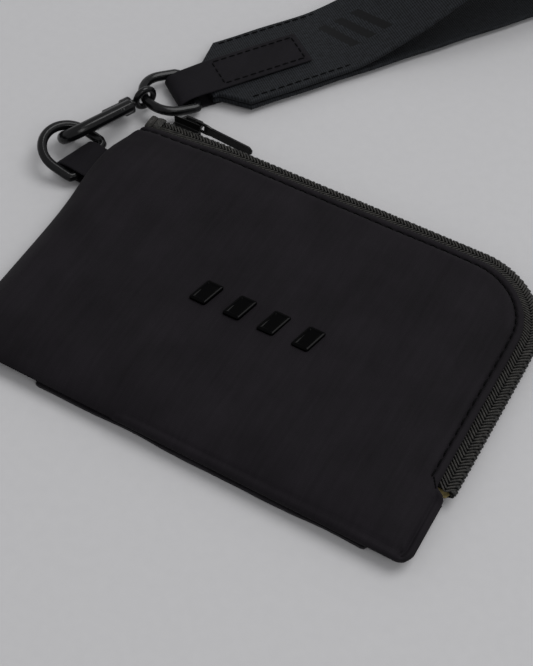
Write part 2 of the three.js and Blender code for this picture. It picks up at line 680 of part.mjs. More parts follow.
// ---- badge --------------------------------------------------------------------------------------
// A row of plain slanted plates on the front panel.
function makeBadge() {
  const { pieces, pitch, width, height, slant, thick } = BADGE;
  for (let i = 0; i < pieces; i += 1) {
    const x = BADGE.x + (i - (pieces - 1) / 2) * pitch;
    const w = width / 2;
    const h = height / 2;
    const lean = slant / 2;
    const plate = prism([[-w - lean, -h], [w - lean, -h], [w + lean, h], [-w + lean, h]], thick);
    plate.translate(x, BADGE.y, FRONT_HEIGHT + GAP);
    addPart(pouch, `badge_plate_${i + 1}`, plate, glossPlastic());
  }
}

makePanels();
makeRearPocket();
makeZip();
makeSlider();
makeBridge();
makePull();
makeSideTab();
addRing(pouch, 'pouch_ring', POUCH_RING);
addRing(strapFrame, 'strap_ring', { x: 0, y: 0, tilt: STRAP_RING_TILT });
makeStrapTab();
makeWebbing();
makeHookBody();
makeGate();
makeSwivel();
makeBadge();

export default pouch;
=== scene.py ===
"""Looks of the zippered pouch: cloth shells, zip, tabs, strap, metal castings, stage and camera.

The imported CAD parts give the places. Lengths in this file are in millimetres until a mesh is made.
"""

import json
import math

import bmesh
import bpy
import numpy as np
from mathutils import Matrix, Vector, noise


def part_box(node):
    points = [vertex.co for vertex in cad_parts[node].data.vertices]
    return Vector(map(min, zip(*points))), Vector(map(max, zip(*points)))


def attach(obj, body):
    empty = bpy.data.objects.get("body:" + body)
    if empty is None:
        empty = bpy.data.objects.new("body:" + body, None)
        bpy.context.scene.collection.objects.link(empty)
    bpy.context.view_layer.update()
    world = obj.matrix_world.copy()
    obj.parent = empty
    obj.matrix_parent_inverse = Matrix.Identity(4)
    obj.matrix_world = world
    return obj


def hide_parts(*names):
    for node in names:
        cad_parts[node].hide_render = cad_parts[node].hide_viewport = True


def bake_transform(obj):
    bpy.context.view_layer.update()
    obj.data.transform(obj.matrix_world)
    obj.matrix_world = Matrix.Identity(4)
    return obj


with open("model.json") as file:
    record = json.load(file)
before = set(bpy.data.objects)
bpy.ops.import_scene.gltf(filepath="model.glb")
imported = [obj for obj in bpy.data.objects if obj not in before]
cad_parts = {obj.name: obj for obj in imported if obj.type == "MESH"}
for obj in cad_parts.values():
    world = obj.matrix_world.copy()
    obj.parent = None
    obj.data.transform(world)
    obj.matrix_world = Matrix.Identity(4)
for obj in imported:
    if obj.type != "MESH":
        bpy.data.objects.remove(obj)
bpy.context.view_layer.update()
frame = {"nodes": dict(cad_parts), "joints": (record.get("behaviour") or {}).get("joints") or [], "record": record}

MM = 0.001
ROOT, FRONT = "root", "front"


def box_mm(node):
    """Lowest and highest corner of a CAD node, in millimetres."""
    low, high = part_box(node)
    return np.array(low) / MM, np.array(high) / MM


JOINTS = {joint["name"]: joint for joint in frame["joints"]}

# ---- places and sizes taken from the frame ----
COIL_LOW, COIL_HIGH = box_mm("zip_coil_front")
PANEL_LOW, PANEL_HIGH = box_mm("front_panel")
TAPE_LOW = box_mm("zip_tape_front")[0]
POCKET_LOW, POCKET_HIGH = box_mm("rear_pocket")

ZIP_X, ZIP_Y = COIL_HIGH[0], COIL_HIGH[1]  # outer line of the zip
LEFT, BOTTOM = PANEL_LOW[0], PANEL_LOW[1]
SEAM_RIGHT = PANEL_HIGH[0]
START_X, END_Y = TAPE_LOW[0], TAPE_LOW[1]
TOP_Z = PANEL_HIGH[2]
CHAIN_Z = (COIL_LOW[2] + box_mm("zip_coil_back")[1][2]) / 2
# the mouth closes again just behind the slider at the end of its travel
SLIDER_STOP = box_mm("slider_body")[0][0] + JOINTS["slider_travel"]["range_m"][1] / MM - 1.0

# ---- the pouch's own proportions ----
CORNER = 21.0  # radius of the zip's corner
FOLD_INSET = 4.2  # folded cloth edge, in from the zip's outer line
STITCH_INSET = 1.9  # topstitching, in from the folded edge
STITCH_PITCH = 2.9
CLOTH = 0.7
SPLIT_X = -15.0  # where the two halves of the front meet, fully open
NOTCH = 2.6  # the panel widens over this height below the zip
FOOT_CORNER = 3.4  # radius of the corner below the zip
TEETH_PITCH = 1.6
RIB_PITCH = 0.9
SWAY = 0.36  # how far the cloth wanders up and down
SEAM_RISE = 0.85  # a panel's sewn edge, from the middle of the zip's thickness
SEAM_ROLL = 0.8  # radius of the cloth's edge along a seam
HEM_GROOVE = 1.7  # shallow groove, in from the seams
OUT_OF_REACH = 40  # added to a distance where its seam doesn't count

CORNER_X, CORNER_Y = ZIP_X - CORNER, ZIP_Y - CORNER
STRAIGHT = CORNER_X - START_X
TURN = CORNER * math.pi / 2
ZIP_LENGTH = STRAIGHT + TURN + CORNER_Y - END_Y


def smooth(value, low, high):
    """Smooth step from 0 at low to 1 at high."""
    t = np.clip((value - low) / (high - low), 0, 1)
    return t * t * (3 - 2 * t)


def swell(distance, reach):
    """Rises from 0 to 1 over the reach, level at its end."""
    left = 1 - np.clip(distance / reach, 0, 1)
    return 1 - left * left


def roll(distance, radius):
    """How far a rounded edge falls away at a distance in from it."""
    left = 1 - np.clip(distance / radius, 0, 1)
    return radius * (1 - np.sqrt(1 - left * left))


def wander(points, size, amount, seed=0.0):
    """Smooth random height for each point in a (..., 2) array."""
    flat = points.reshape(-1, 2) / size
    values = [noise.noise((x, y, seed)) for x, y in flat]
    return amount * np.array(values).reshape(points.shape[:-1])


# ---- mesh helpers ----
def add(thing):
    bpy.context.scene.collection.objects.link(thing)


def make_piece(name, points, faces, material, slot, along=None, sharp=50.0):
    """A mesh object from points in millimetres. along holds two surface lengths for each point."""
    mesh = bpy.data.meshes.new(name)
    mesh.from_pydata((np.asarray(points) * MM).tolist(), [], faces)
    if along is not None:
        lengths = mesh.attributes.new("along", "FLOAT_VECTOR", "POINT")
        flat = np.zeros((len(points), 3), np.float32)
        flat[:, :2] = along
        lengths.data.foreach_set("vector", flat.ravel())
    cleaned = bmesh.new()
    cleaned.from_mesh(mesh)
    bmesh.ops.remove_doubles(cleaned, verts=cleaned.verts, dist=2e-7)
    bmesh.ops.recalc_face_normals(cleaned, faces=cleaned.faces)
    cleaned.to_mesh(mesh)
    cleaned.free()
    mesh.polygons.foreach_set("use_smooth", [True] * len(mesh.polygons))
    mesh.set_sharp_from_angle(angle=math.radians(sharp))
    mesh.materials.append(material)
    piece = bpy.data.objects.new(name, mesh)
    add(piece)
    return piece


def grid_faces(rows, columns, first=0, flip=False):
    """Quads of a grid of points stored row by row."""
    faces = []
    for i in range(rows - 1):
        for j in range(columns - 1):
            a = first + i * columns + j
            quad = (a, a + 1, a + columns + 1, a + columns)
            faces.append(quad[::-1] if flip else quad)
    return faces


def closed_sheet(top, under):
    """Points and faces of a sheet between two matching grids."""
    rows, columns = top.shape[:2]
    count = rows * columns
    faces = grid_faces(rows, columns) + grid_faces(rows, columns, count, True)
    rim = list(range(columns))
    rim += [i * columns + columns - 1 for i in range(1, rows)]
    rim += [(rows - 1) * columns + j for j in range(columns - 2, -1, -1)]
    rim += [i * columns for i in range(rows - 2, 0, -1)]
    for a, b in zip(rim, rim[1:] + rim[:1]):
        faces.append((b, a, a + count, b + count))
    return np.concatenate([top.reshape(-1, 3), under.reshape(-1, 3)]), faces


def bead(line, radius, sides=6, ends=0.45):
    """A short round body along a line of points, drawn in at both ends."""
    line = np.asarray(line, float)
    along = np.gradient(line, axis=0)
    along /= np.linalg.norm(along, axis=1)[:, None]
    spare = np.array([0.0, 0.0, 1.0]) if abs(along[0][2]) < 0.8 else np.array([1.0, 0.0, 0.0])
    points, count = [], len(line)
    for k, (at, way) in enumerate(zip(line, along)):
        side = np.cross(way, spare)
        side /= np.linalg.norm(side)
        up = np.cross(side, way)
        size = radius * (ends if k in (0, count - 1) else 1.0)
        for turn in np.arange(sides) * 2 * math.pi / sides:
            points.append(at + size * (side * math.cos(turn) + up * math.sin(turn)))
    faces = []
    for k in range(count - 1):
        for j in range(sides):
            a, b = k * sides + j, k * sides + (j + 1) % sides
            faces.append((a, b, b + sides, a + sides))
    faces.append(tuple(range(sides))[::-1])
    faces.append(tuple((count - 1) * sides + j for j in range(sides)))
    return np.array(points), faces


def gather(bodies):
    """Several (points, faces) bodies as one."""
    points, faces, first = [], [], 0
    for some, theirs in bodies:
        points.append(some)
        faces += [tuple(first + v for v in face) for face in theirs]
        first += len(some)
    return np.concatenate(points), faces


def open_with_mouth(piece, side):
    """Bakes the piece's place into its mesh."""
    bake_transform(piece)


# ---- materials ----
class Shader:
    """A principled material, and short ways to add nodes to it."""

    def __init__(self, name, color, roughness, **fixed):
        self.material = bpy.data.materials.new(name)
        self.material.use_nodes = True
        self.tree = self.material.node_tree
        self.surface = self.tree.nodes["Principled BSDF"]
        self.surface.inputs["Base Color"].default_value = (*color, 1)
        self.surface.inputs["Roughness"].default_value = roughness
        for socket, value in fixed.items():
            self.surface.inputs[socket.replace("_", " ")].default_value = value

    def node(self, kind, links=(), **settings):
        made = self.tree.nodes.new(kind)
        for name, value in settings.items():
            setattr(made, name, value)
        for socket, source in dict(links).items():
            if isinstance(source, bpy.types.NodeSocket):
                self.tree.links.new(source, made.inputs[socket])
            else:
                made.inputs[socket].default_value = source
        return made.outputs[0]

    def math(self, operation, *values):
        return self.node("ShaderNodeMath", enumerate(values), operation=operation)

    def place(self, scale=(1, 1, 1), turn=0.0, attribute=None):
        """Surface position in millimetres, or the mesh's own lengths, stretched and turned."""
        if attribute:
            self.node("ShaderNodeAttribute", attribute_name=attribute)
            vector = self.tree.nodes[-1].outputs["Vector"]
            factor = 1.0
        else:
            self.node("ShaderNodeTexCoord")
            vector = self.tree.nodes[-1].outputs["Object"]
            factor = 1 / MM
        return self.node("ShaderNodeMapping", {
            "Vector": vector,
            "Rotation": (0, 0, turn),
            "Scale": tuple(factor * s for s in scale),
        })

    def grain(self, place, detail=3.0, rough=0.5):
        return self.node("ShaderNodeTexNoise", {
            "Vector": place, "Scale": 1.0, "Detail": detail, "Roughness": rough})

    def threads(self, place, pitch, axis):
        """Rounded ridges with one crest every pitch, across the axis."""
        self.node("ShaderNodeSeparateXYZ", {"Vector": place})
        value = self.tree.nodes[-1].outputs[axis]
        wave = self.math("SINE", self.math("MULTIPLY", value, 2 * math.pi / pitch))
        return self.math("MULTIPLY_ADD", wave, 0.5, 0.5)

    def weave(self, place, pitch):
        """Over-and-under plain weave."""
        warp, weft = self.threads(place, pitch, "X"), self.threads(place, pitch, "Y")
        both = self.threads(self.node("ShaderNodeMapping", {
            "Vector": place, "Rotation": (0, 0, math.pi / 4)}), pitch * 1.414, "X")
        return self.math("MULTIPLY_ADD", both, 0.5, self.math("MAXIMUM", warp, weft))

    def edges(self, low, high):
        """From 0 on a flat face to 1 along a sharp outer edge."""
        self.node("ShaderNodeNewGeometry")
        value = self.tree.nodes[-1].outputs["Pointiness"]
        return self.node("ShaderNodeMapRange", {"Value": value, "From Min": low, "From Max": high})

    def color_range(self, factor, dark, light):
        ramp = self.tree.nodes.new("ShaderNodeValToRGB")
        ramp.color_ramp.elements[0].color = (*dark, 1)
        ramp.color_ramp.elements[0].position = 0.3
        ramp.color_ramp.elements[1].color = (*light, 1)
        ramp.color_ramp.elements[1].position = 0.7
        self.tree.links.new(factor, ramp.inputs[0])
        self.tree.links.new(ramp.outputs[0], self.surface.inputs["Base Color"])
        return ramp

    def roughness(self, factor, low, high):
        value = self.node("ShaderNodeMapRange", {"Value": factor, "To Min": low, "To Max": high})
        self.tree.links.new(value, self.surface.inputs["Roughness"])

    def bump(self, height, depth, under=None):
        """Adds relief of a depth in millimetres, over earlier relief."""
        made = self.node("ShaderNodeBump", {"Height": height, "Distance": depth * MM, "Strength": 1.0})
        if under is not None:
            self.tree.links.new(under, self.tree.nodes[-1].inputs["Normal"])
        self.tree.links.new(made, self.surface.inputs["Normal"])
        return made


def shade(color, factor):
    return tuple(c * factor for c in color)


STREAKS = 0.35  # share of the cloth's colour change that runs in streaks


def cloth_material(name, color, pitch, roughness=0.72, relief=0.03, sheen=0.02):
    """Woven cloth: plain weave, a soft mottle, long faint streaks and shallow creases."""
    shader = Shader(name, color, roughness, Sheen_Weight=sheen, Sheen_Roughness=0.45,
                    Specular_IOR_Level=0.07)
    surface = shader.place()
    mottle = shader.grain(shader.place((0.09, 0.09, 0.09)), detail=4)
    streak = shader.grain(shader.place((1.1, 0.07, 0.2)), detail=3)
    mixed = shader.math("MULTIPLY_ADD", streak, STREAKS, shader.math("MULTIPLY", mottle, 1 - STREAKS))
    shader.color_range(mixed, shade(color, 0.7), shade(color, 1.3))
    fuzz = shader.grain(shader.place((3, 3, 3)), detail=2)
    shader.roughness(fuzz, roughness - 0.07, roughness + 0.09)
    weave = shader.bump(shader.weave(surface, pitch), relief)
    shader.bump(shader.grain(shader.place((0.16, 0.1, 0.16)), detail=3), 0.35, weave)
    return shader.material


# the strap's bars: lean, repeat, group, pitch, width and half height
BAR_SLANT, BAR_REPEAT, BAR_GROUP, BAR_PITCH, BAR_WIDE, BAR_HALF = 0.45, 30.0, 13.5, 5.0, 2.6, 5.5
LOOP_END, PLAIN_REACH = 125, 78.0  # place along the strip, and plain length each way from it


def webbing_material(color):
    """Strap webbing: cross ribs, fine lengthwise threads and a repeated group of raised bars."""
    shader = Shader("webbing", color, 0.6, Sheen_Weight=0.03, Sheen_Roughness=0.4,
                    Specular_IOR_Level=0.12)
    surface = shader.place(attribute="along")
    shader.node("ShaderNodeSeparateXYZ", {"Vector": surface})
    along, across = shader.tree.nodes[-1].outputs["X"], shader.tree.nodes[-1].outputs["Y"]
    fleck = shader.grain(shader.place((0.5, 2.2, 1), attribute="along"), detail=4)
    ribs = shader.threads(surface, 0.62, "X")
    fine = shader.threads(surface, 0.5, "Y")
    # three slanted bars in each repeat, in the middle of the strap's width
    slant = shader.math("MULTIPLY_ADD", across, BAR_SLANT, along)
    group = shader.math("FLOORED_MODULO", slant, BAR_REPEAT)
    inside = shader.math("LESS_THAN", group, BAR_GROUP)
    bar = shader.math("LESS_THAN", shader.math("FLOORED_MODULO", group, BAR_PITCH), BAR_WIDE)
    middle = shader.math("LESS_THAN", shader.math("ABSOLUTE", across), BAR_HALF)
    # the loop's far end is plain
    from_end = shader.math("ABSOLUTE", shader.math("SUBTRACT", along, LOOP_END))
    clear = shader.math("GREATER_THAN", from_end, PLAIN_REACH)
    raised = shader.math("MULTIPLY", shader.math("MULTIPLY", inside, bar),
                         shader.math("MULTIPLY", middle, clear))
    plain = shader.math("SUBTRACT", 1.0, raised)
    shade_by = shader.math("MULTIPLY_ADD", fleck, 0.7, shader.math("MULTIPLY", ribs, 0.3))
    shader.color_range(shader.math("MULTIPLY_ADD", raised, -0.5, shade_by),
                       shade(color, 0.2), shade(color, 1.6))
    shader.roughness(plain, 0.55, 0.68)
    woven = shader.math("MULTIPLY", shader.math("MULTIPLY_ADD", fine, 0.4, ribs), plain)
    ribbed = shader.bump(woven, 0.06)
    shader.bump(raised, 0.4, ribbed)
    return shader.material


def tape_material(name, color, light, specular=0.25):
    """Ribbed zip tape: fine cross threads, lighter where it has rubbed."""
    shader = Shader(name, color, 0.55, Sheen_Weight=0.2 * specular, Sheen_Roughness=0.4,
                    Specular_IOR_Level=specular)
    surface = shader.place()
    rub = shader.grain(shader.place((1.3, 1.3, 1.3)), detail=4)
    shader.color_range(rub, color, light)
    shader.roughness(rub, 0.62, 0.45)
    shader.bump(shader.weave(surface, 0.34), 0.05)
    return shader.material


def metal_material(name, color, roughness):
    """Black painted casting: faint orange peel, smudges, and thin paint along the edges."""
    shader = Shader(name, color, roughness, Coat_Weight=0.12, Coat_Roughness=0.08,
                    Specular_IOR_Level=0.13)
    smudge = shader.grain(shader.place((0.5, 0.5, 0.5)), detail=5, rough=0.6)
    edge = shader.edges(0.52, 0.6)
    chipped = shader.math("MULTIPLY", edge, shader.grain(shader.place((2.5, 2.5, 2.5)), detail=3))
    factor = shader.math("MULTIPLY_ADD", chipped, 0.8, shader.math("MULTIPLY", smudge, 0.55))
    ramp = shader.color_range(factor, color, shade(color, 1.7))
    rubbed = ramp.color_ramp.elements.new(0.98)
    rubbed.color = (0.08, 0.08, 0.08, 1)
    shader.roughness(smudge, roughness - 0.06, roughness + 0.12)
    shader.bump(shader.grain(shader.place((4, 4, 4)), detail=2), 0.012)
    return shader.material


def gloss_material():
    """Gloss black badge: clear coat over black, with fine dust, slight waviness and a painted highlight along the
    rims.
    """
    shader = Shader("badge_gloss", (0.0003, 0.0003, 0.0004), 0.12, Coat_Weight=0.05,
                    Coat_Roughness=0.04, Specular_IOR_Level=0.02)
    dust = shader.grain(shader.place((5, 5, 5)), detail=5)
    # painted highlight: the base colour turns lighter along the plate's convex rims
    edge = shader.edges(0.56, 0.7)
    ramp = shader.color_range(shader.math("MULTIPLY_ADD", dust, 0.6, edge),
                              (0.0002, 0.0002, 0.0003), (0.0008, 0.0008, 0.001))
    # lightest step, reached along the rims: the painted highlight
    ramp.color_ramp.elements.new(1.0).color = (0.06, 0.06, 0.062, 1)
    shader.roughness(dust, 0.08, 0.14)
    shader.bump(shader.grain(shader.place((0.6, 0.6, 0.6)), detail=1), 0.03)
    return shader.material


def thread_material():
    # black thread, coloured darker than the cloth: partly its own colour, partly painted shade of the stitch holes
    shader = Shader("thread", (0.001, 0.001, 0.0012), 0.6, Sheen_Weight=0.01, Specular_IOR_Level=0.03)
    twist = shader.threads(shader.place(turn=0.7), 0.3, "X")
    shader.color_range(twist, (0.0006, 0.0006, 0.0008), (0.002, 0.002, 0.0022))
    shader.bump(twist, 0.05)
    return shader.material


NYLON = cloth_material("nylon", (0.0064, 0.0054, 0.0069), 0.42, relief=0.018)
# painted light: the pocket is the pouch's nylon, coloured about twice as light to stand in for light its shaded
# lip under the fold does not get
POCKET_CLOTH_PAINTED_LIGHT = cloth_material("pocket_nylon_painted_light", (0.014, 0.0128, 0.015), 0.42, relief=0.012)
TAB_CLOTH = cloth_material("tab_nylon", (0.0052, 0.0046, 0.0060), 0.38, roughness=0.68)
LINING = cloth_material("lining", (0.125, 0.10, 0.04), 0.3, roughness=0.6, relief=0.02, sheen=0.2)
# the tape's own black, painted darker still as the shade in the grooves between its raised ribs
TAPE_WITH_PAINTED_SHADE = tape_material("zip_tape", (0.0006, 0.0006, 0.0006), (0.0016, 0.0016, 0.0015), specular=0.04)
RIBS = tape_material("zip_ribs", (0.003, 0.003, 0.0027), (0.028, 0.0265, 0.023))
TEETH = tape_material("zip_teeth", (0.006, 0.006, 0.006), (0.016, 0.016, 0.015))
WEBBING = webbing_material((0.0075, 0.0086, 0.0104))
THREAD_WITH_PAINTED_SHADE = thread_material()
METAL = metal_material("black_metal", (0.0026, 0.0027, 0.003), roughness=0.2)
SLIDER_METAL = metal_material("slider_metal", (0.0032, 0.0032, 0.0032), roughness=0.28)
BADGE = gloss_material()


# ---- outline and zip line ----
def near_start(s):
    """1 at the zip's start, falling to 0 where the pouch has its full thickness."""
    return 1 - smooth(s, 0, 24)


def zip_drift(s):
    """The sewn edge is drawn in along the straight, more at its start, and bulges past the corner."""
    return 0.8 * smooth(s, STRAIGHT + 0.3 * TURN, STRAIGHT + 1.2 * TURN) - 0.3 - 0.5 * near_start(s)


def zip_at(s):
    """Point on the zip's outer line and the outward direction, s along it from its start."""
    drift = zip_drift(s)
    if s < STRAIGHT:
        return np.array([START_X + s, ZIP_Y + drift]), np.array([0.0, 1.0])
    if s < STRAIGHT + TURN:
        angle = math.pi / 2 - (s - STRAIGHT) / CORNER
        out = np.array([math.cos(angle), math.sin(angle)])
        return np.array([CORNER_X, CORNER_Y]) + (CORNER + drift) * out, out
    return np.array([ZIP_X + drift, CORNER_Y - (s - STRAIGHT - TURN)]), np.array([1.0, 0.0])


def beside_zip(s, inset, z):
    point, out = zip_at(s)
    flat = point - out * inset
    return np.array([flat[0], flat[1], z])


def panel_edge(s, inset, margin=0.0):
    """Edge of a panel: inset from the zip, and out to the side seam below it."""
    point, out = zip_at(s)
    edge = point - out * inset
    if s > STRAIGHT + TURN:
        widened = SEAM_RIGHT - margin - edge[0]
        edge[0] += max(0.0, widened) * smooth(-edge[1], -END_Y + 0.4, -END_Y + NOTCH)
        edge[0] -= roll(edge[1] - BOTTOM - margin, FOOT_CORNER)
    return edge, out


def left_edge(y):
    """The left seam bows out a little beside the tab, and turns in at both corners."""
    bow = 1.9 * np.exp(-((y - 20) / 13) ** 2)
    lean = 2.0 * smooth(y, 23, ZIP_Y - FOLD_INSET)
    return LEFT - bow + lean + roll(y - BOTTOM, 2.5) + roll(ZIP_Y - FOLD_INSET - y, 3.0)


# insets of the rows along a folded edge, closest where the stitches are
RIM = [0, 0.08, 0.2, 0.4, 0.7, 1.0, 1.25, 1.45, 1.6, 1.75, 1.9, 2.05, 2.2, 2.4,
       2.7, 3.1, 3.7, 4.5, 5.5, 6.8]


def inner_rows(count):
    """Shares of the way from the rim's inner line down to the bottom seam, closer near the seam."""
    return 1 - (1 - (1 - np.linspace(0, 1, count + 1)[1:])) ** 0.8


def panel_grid(side, inset, rim=RIM, rows=46, step=0.6, margin=0.0):
    """Plan positions of one half of a panel, (rows, columns, 2), with each point's distance in from
    the folded edge and its length s along the zip."""
    foot = BOTTOM + margin
    if side == "left":
        columns = np.linspace(0, 1, round((SPLIT_X - LEFT) / step) + 1)
        columns = 1 - (1 - columns) ** 0.75
    else:
        last = STRAIGHT + TURN + CORNER_Y - foot
        s_values = np.arange(SPLIT_X - START_X, last, step)
        close = last - np.array([0.0, 0.1, 0.25, 0.5, 0.9, 1.4, 2.0])[::-1]
        s_values = np.concatenate([s_values[s_values < close[0] - 0.3], close])
    shares = inner_rows(rows)
    grid, inward, lengths = [], [], []
    pole = np.array([SPLIT_X, foot])
    for k in range(len(rim) + rows):
        line = []
        for column in (columns if side == "left" else s_values):
            if side == "left":
                share = 1.0 if k < len(rim) else shares[k - len(rim)]
                y = foot + (ZIP_Y - inset - rim[min(k, len(rim) - 1)] - foot) * share
                x = SPLIT_X + (left_edge(y) + margin - SPLIT_X) * (1 - column)
                line.append((x, y + zip_drift(x - START_X) * share))
                continue
            edge, out = panel_edge(column, inset, margin)
            point = edge - out * (rim[k] if k < len(rim) else rim[-1])
            if k >= len(rim):
                point = pole + (point - pole) * shares[k - len(rim)]
            line.append(tuple(point))
        grid.append(line)
        inward.append([rim[k] if k < len(rim) else 99.0] * len(line))
        lengths.append([x - START_X for x, _ in line] if side == "left" else list(s_values))
    return np.array(grid), np.array(inward), np.array(lengths)


def hem_distance(grid):
    """How far each point is in from the bottom, or from the right seam below the zip."""
    x, y = grid[..., 0], grid[..., 1]
    below = smooth(-y, -END_Y - 1.5, -END_Y + NOTCH)
    right = SEAM_RIGHT - x - roll(y - BOTTOM, FOOT_CORNER) + OUT_OF_REACH * (1 - below)
    return np.minimum(y - BOTTOM, right)


def seam_distance(grid):
    """How far each point is in from the nearest sewn edge: left, bottom, or right below the zip."""
    return np.minimum(grid[..., 0] - left_edge(grid[..., 1]), hem_distance(grid))


def from_zip(grid):
    """Distance of each point in from the zip's outer line, round its corner too."""
    across, up = grid[..., 0] - CORNER_X, grid[..., 1] - CORNER_Y
    corner = CORNER - np.hypot(np.maximum(across, 0), np.maximum(up, 0))
    return np.where((across > 0) & (up > 0), corner, CORNER - np.maximum(across, up))


def from_right_seam(grid):
    """Distance in from the right seam below the zip, and out of reach beside the zip."""
    beside = 1 - smooth(-grid[..., 1], -END_Y - 6, -END_Y + 4)
    return SEAM_RIGHT - grid[..., 0] + OUT_OF_REACH * beside


def cloth_thickness(seam):
    """The cloth thins to nothing in the rolled edge along a seam."""
    return CLOTH * np.sqrt(1 - (1 - np.clip(seam / SEAM_ROLL, 0, 1)) ** 2)


def front_height(grid):
    """Top of the front panel without its stitching."""
    x, y = grid[..., 0], grid[..., 1]
    inward = from_zip(grid)
    at_zip = 6.25 - 1.3 * near_start(x - START_X)
    seam = CHAIN_Z + SEAM_RISE
    filled = at_zip + (TOP_Z - at_zip) * swell(inward - FOLD_INSET, 17)
    sewn = swell(x - left_edge(y), 7) * swell(y - BOTTOM, 12) * swell(from_right_seam(grid), 6)
    return seam + (filled - seam) * sewn + wander(grid, 17.0, SWAY) * sewn


def stitched(inward, lengths):
    """Relief of the zip edge: a full fold, then the row of stitches drawn in."""
    here = smooth(ZIP_LENGTH - lengths, 0, 2.0)
    drawn = np.exp(-((inward - STITCH_INSET) / 0.4) ** 2)
    pull = 0.52 + 0.22 * np.cos(2 * math.pi * lengths / STITCH_PITCH)
    fold = 0.14 * np.sin(math.pi * np.clip(inward / STITCH_INSET, 0, 1))
    swelling = 0.3 + 0.08 * np.sin(lengths / 4.3) + 0.06 * np.sin(lengths / 1.9 + 1)
    puff = swelling * np.exp(-((inward - STITCH_INSET - 1.7) / 1.2) ** 2)
    return here * (fold + puff - drawn * pull)


def front_levels(side):
    """Plan grid of half of the front panel with its top and under heights."""
    grid, inward, lengths = panel_grid(side, FOLD_INSET)
    height = front_height(grid) + stitched(inward, lengths)
    across, up = SEAM_RIGHT - grid[..., 0], grid[..., 1] - BOTTOM
    cornered = np.exp(-(np.hypot(across, 0.6 * up) / 9) ** 2)
    height -= (0.24 + 0.5 * cornered) * np.exp(-((hem_distance(grid) - HEM_GROOVE) / 0.5) ** 2)
    height -= 0.5 * np.exp(-((across - up - 0.6) / 0.7) ** 2) * (1 - smooth(across + up, 5, 9))
    seam = seam_distance(grid)
    top = height - roll(seam, SEAM_ROLL) - roll(inward, 0.42)
    thick = cloth_thickness(seam)
    thick = thick + 0.25 * (inward < STITCH_INSET) * np.clip(seam, 0, 1)
    under = np.minimum(height - roll(seam, SEAM_ROLL) - thick + roll(inward, 0.42), top - 0.004)
    return grid, top, under


def stack(grid, z):
    return np.concatenate([grid, z[..., None]], axis=-1)


# ---- pouch cloth ----
def make_front_panel(side):
    grid, top, under = front_levels(side)
    points, faces = closed_sheet(stack(grid, top), stack(grid, under))
    piece = make_piece(f"front_cloth_{side}", points, faces, NYLON, "nylon_fabric")
    open_with_mouth(piece, side)
    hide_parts("front_panel")


def back_under(grid):
    """Under side of the back panel: flat over the pocket, rising to the side seams."""
    lying = POCKET_HIGH[2] + 0.3 + 0.4 * (1 - swell(from_zip(grid) - FOLD_INSET, 16))
    seam = CHAIN_Z - SEAM_RISE
    sewn = swell(grid[..., 0] - left_edge(grid[..., 1]), 5) * swell(grid[..., 1] - BOTTOM, 5)
    return seam + (lying - seam) * sewn * swell(from_right_seam(grid), 5)


def make_back_panel(side):
    grid, inward, lengths = panel_grid(side, FOLD_INSET)
    seam = seam_distance(grid)
    base = back_under(grid) - 0.5 * stitched(inward, lengths)
    thick = cloth_thickness(seam)
    under = base + roll(seam, SEAM_ROLL) + roll(inward, 0.35)
    top = np.maximum(base + thick - roll(inward, 0.35), under + 0.004)
    points, faces = closed_sheet(stack(grid, top), stack(grid, under))
    piece = make_piece(f"back_cloth_{side}", points, faces, NYLON, "nylon_fabric")
    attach(piece, ROOT)
    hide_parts("back_panel")


LINING_INSET = 7.9
LINING_MARGIN = 3.2
LINING_THICK = 0.3
LINING_RIM = [0, 0.1, 0.3, 0.8, 1.6, 3.0, 5.0]


def make_lining(side, layer):
    """Thin sheet inside a panel, from the sewn edge of the tape down to the bottom seam."""
    grid, inward, _ = panel_grid(side, LINING_INSET, LINING_RIM, 30, 1.2, LINING_MARGIN)
    crease = wander(grid, 9.0, 0.12, 7.0 if layer == "front" else 3.0)
    edge = roll(inward, 0.15)
    if layer == "front":
        top = front_height(grid) - CLOTH - 0.45 - np.abs(crease)
    else:
        top = back_under(grid) + CLOTH + 0.4 + LINING_THICK + np.abs(crease)
    points, faces = closed_sheet(stack(grid, top - edge), stack(grid, top - LINING_THICK + edge))
    piece = make_piece(f"lining_{layer}_{side}", points, faces, LINING, "lining")
    if layer == "front":
        open_with_mouth(piece, side)
    else:
        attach(piece, ROOT)
    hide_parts(f"lining_{layer}")


def make_lining_corner():
    """The lining's turned end, caught in the side seam just below the zip."""
    across, down = np.meshgrid(np.linspace(0, 1, 14), np.linspace(0, 1, 12))
    x = SEAM_RIGHT - 2.8 + 3.2 * across - 0.5 * down
    y = END_Y + 0.6 - (2.6 - 1.1 * across) * down
    top = CHAIN_Z + 0.35 - 0.5 * across ** 2 + 0.18 * np.sin(5 * across + 2 * down)
    grid = np.stack([x, y], axis=-1)
    edge = roll(np.minimum(across, 1 - across) * 3.2, 0.15)
    points, faces = closed_sheet(stack(grid, top - edge), stack(grid, top - 0.35 + edge))
    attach(make_piece("lining_corner", points, faces, LINING, "lining"), ROOT)


